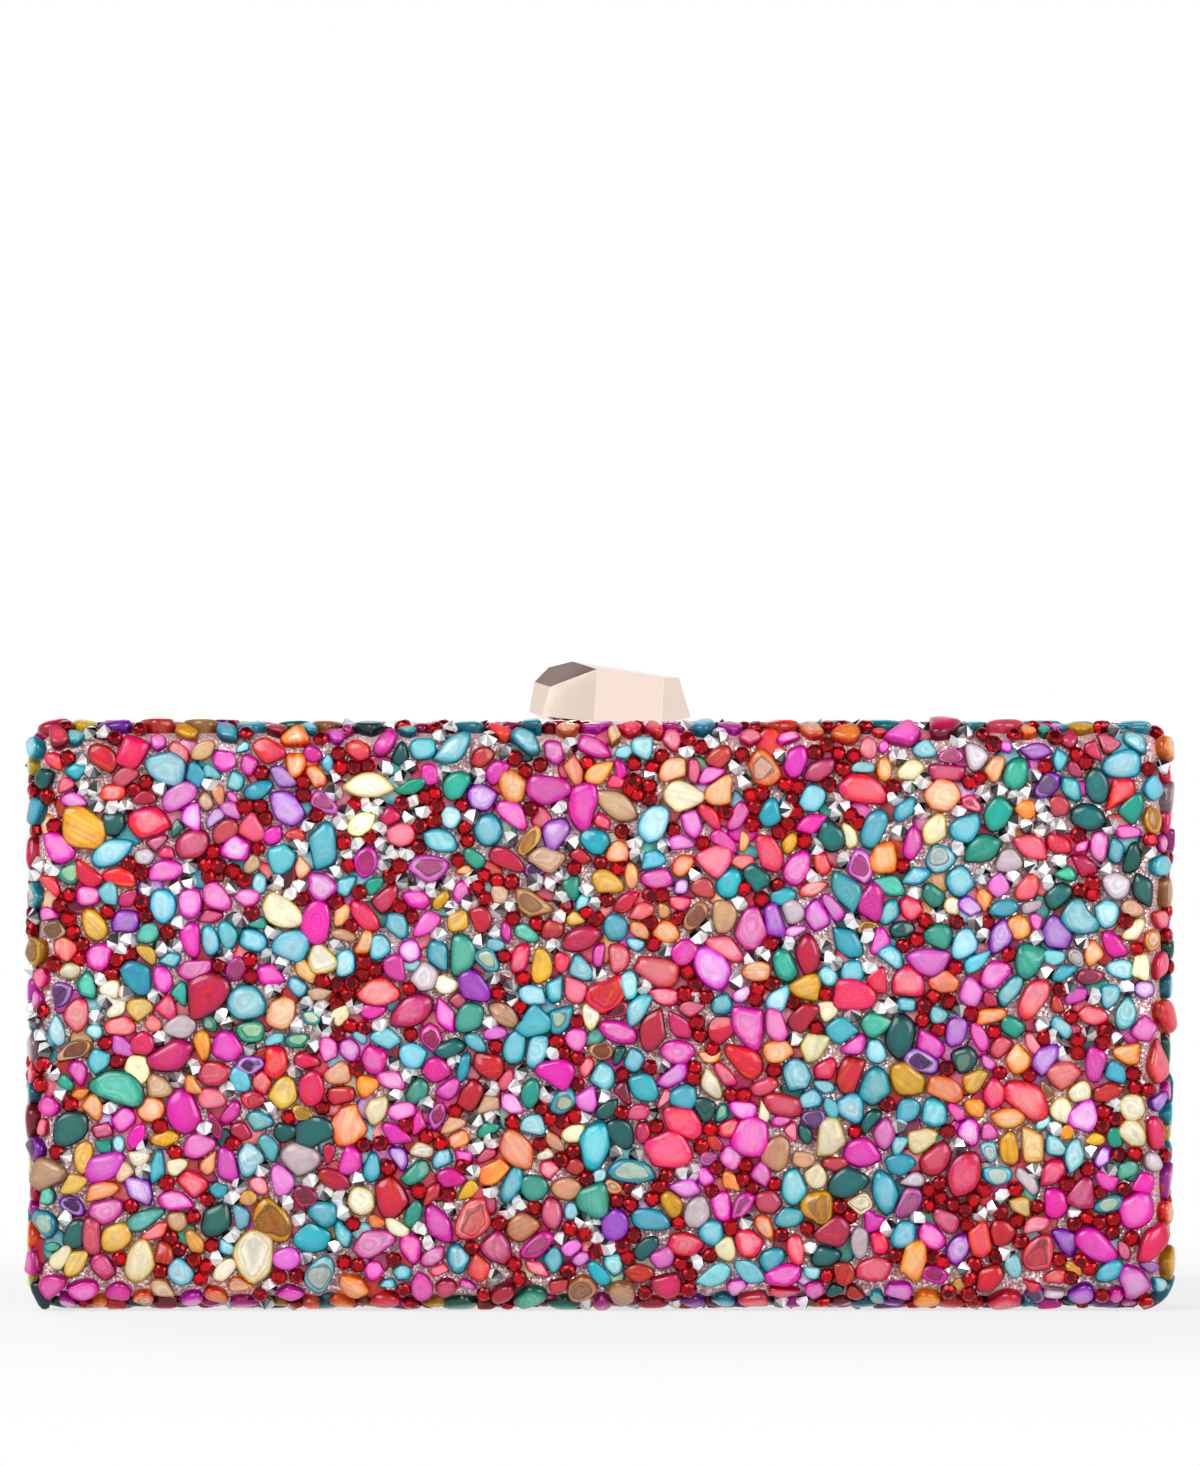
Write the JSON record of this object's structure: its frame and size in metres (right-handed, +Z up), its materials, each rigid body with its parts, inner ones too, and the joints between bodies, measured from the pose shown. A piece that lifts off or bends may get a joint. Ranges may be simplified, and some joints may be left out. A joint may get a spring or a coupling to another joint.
{
  "type": "minaudiere",
  "caption": "Hard rectangular evening clutch covered in dyed shell stones and crystals, hinged along the bottom, with a faceted rock-shaped push clasp on top.",
  "frame": {"origin": "middle of the base, on the parting plane, at the surface the closed case stands on", "axes": "+X along the case to its right end seen from the front, +Y to the back, +Z up"},
  "size_m": [0.204, 0.046, 0.1161],
  "materials": {
    "shell": "moulded, hidden between cover and lining",
    "lining": "dusty rose satin",
    "cover": "dusty mauve mesh with fine glitter",
    "stones": "glossy tumbled dyed shell chips and small crystals",
    "crowns": "glossy tumbled dyed shell chips",
    "rose_gold": "polished rose gold plate",
    "steel": "plain turned",
    "spring_steel": "plain spring steel"
  },
  "bodies": {
    "back_half": {"back_shell": "shell", "back_lining": "lining", "back_cover": "cover", "back_stone_bed": "stones", "back_stone_crowns": "crowns", "back_frame": "rose_gold", "hinge_pin_left": "steel", "hinge_pin_right": "steel", "chain_lug_left": "rose_gold", "chain_lug_right": "rose_gold", "chain_lug_rivet_left_lower": "rose_gold", "chain_lug_rivet_left_upper": "rose_gold", "chain_lug_rivet_right_lower": "rose_gold", "chain_lug_rivet_right_upper": "rose_gold", "clasp_bush": "rose_gold"},
    "front_half": {"front_shell": "shell", "front_lining": "lining", "front_cover": "cover", "front_stone_bed": "stones", "front_stone_crowns": "crowns", "front_frame": "rose_gold", "latch_tongue": "spring_steel", "latch_rivet_left": "rose_gold", "latch_rivet_right": "rose_gold"},
    "clasp": {"clasp_knob": "rose_gold", "clasp_stem": "steel", "clasp_clip": "spring_steel", "clasp_spring": "spring_steel"}
  },
  "joints": [
    {"name": "lid_hinge", "type": "hinge", "parent": "back_half", "child": "front_half", "pos_m": [0, 0, 0.0015], "axis": [1, 0, 0], "range_deg": [0, 100], "deforming": ["latch_tongue"]},
    {"name": "clasp_press", "type": "slide", "parent": "back_half", "child": "clasp", "axis": [0, 0, -1], "range_m": [0, 0.0012], "stiffness_N_per_m": 600, "springref_m": -0.002, "deforming": ["clasp_spring"]}
  ]
}
